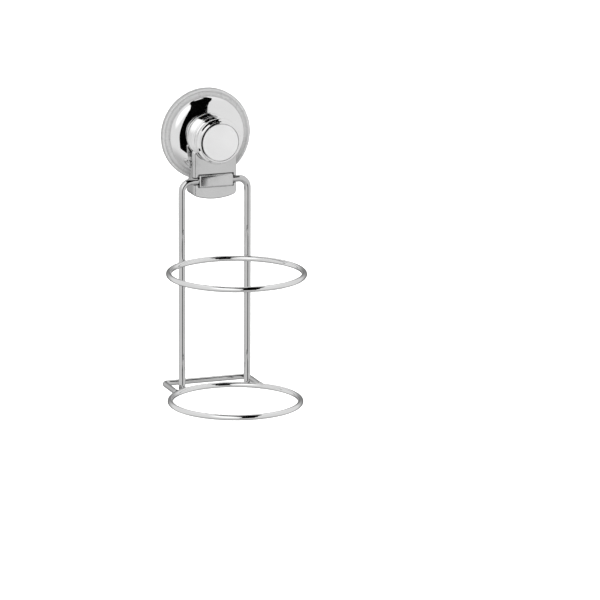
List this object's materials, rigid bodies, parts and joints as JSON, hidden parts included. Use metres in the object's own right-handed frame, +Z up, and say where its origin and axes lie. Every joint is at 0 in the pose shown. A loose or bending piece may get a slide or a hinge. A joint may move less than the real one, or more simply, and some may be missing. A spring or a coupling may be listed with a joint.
{
  "type": "hair dryer holder",
  "caption": "Chrome wire basket for a hair dryer, hooked on a collar behind a screw-down suction disc; two rings take the barrel.",
  "frame": {"origin": "centre of the suction pad's flat rear face, on the wall plane", "axes": "+Y into the wall along the hub axis, -Y out of the wall towards the user, +Z up, +X to the right of somebody facing the wall"},
  "size_m": [0.1, 0.1185, 0.2173],
  "materials": {
    "frosted_pvc": "translucent soft PVC",
    "plated_steel": "zinc plated",
    "spring_steel": "plain",
    "black_abs": "moulded",
    "plated_abs": "bright chrome plated",
    "satin_plated_abs": "satin chrome plated",
    "brass": "turned",
    "nylon": "moulded",
    "chromed_wire": "bright chrome plated steel wire"
  },
  "bodies": {
    "mount_base": {"suction_pad": "frosted_pvc", "stud": "plated_steel", "stud_retainer": "spring_steel", "pressure_cup": "black_abs", "dish_cover": "plated_abs", "collar_washer": "nylon"},
    "hanger": {"hanger": "plated_abs", "frame_clip": "satin_plated_abs"},
    "thrust_washer": {"slip_washer": "nylon"},
    "knob": {"knob_body": "plated_abs", "knob_nut": "brass", "knob_cap": "satin_plated_abs"},
    "basket": {"back_frame": "chromed_wire", "upper_ring": "chromed_wire", "lower_ring": "chromed_wire", "wall_spacer": "chromed_wire"}
  },
  "joints": [
    {"name": "knob_turn", "type": "hinge", "parent": "thrust_washer", "child": "knob", "pos_m": [0, -0.0254, 0], "axis": [0, -1, 0], "range_deg": [0, 270]},
    {"name": "knob_travel", "type": "slide", "parent": "mount_base", "child": "thrust_washer", "axis": [0, -1, 0], "range_m": [0, 0.003]},
    {"name": "hanger_turn", "type": "hinge", "parent": "mount_base", "child": "hanger", "pos_m": [0, 0, 0], "axis": [0, -1, 0], "continuous": true},
    {"name": "frame_swing", "type": "hinge", "parent": "hanger", "child": "basket", "pos_m": [0, -0.0218, -0.0298], "axis": [-1, 0, 0], "range_deg": [0, 90]}
  ],
  "couplings": [
    {"joint": "knob_turn", "follows": "knob_travel", "rad_per_m": 1570.8}
  ]
}
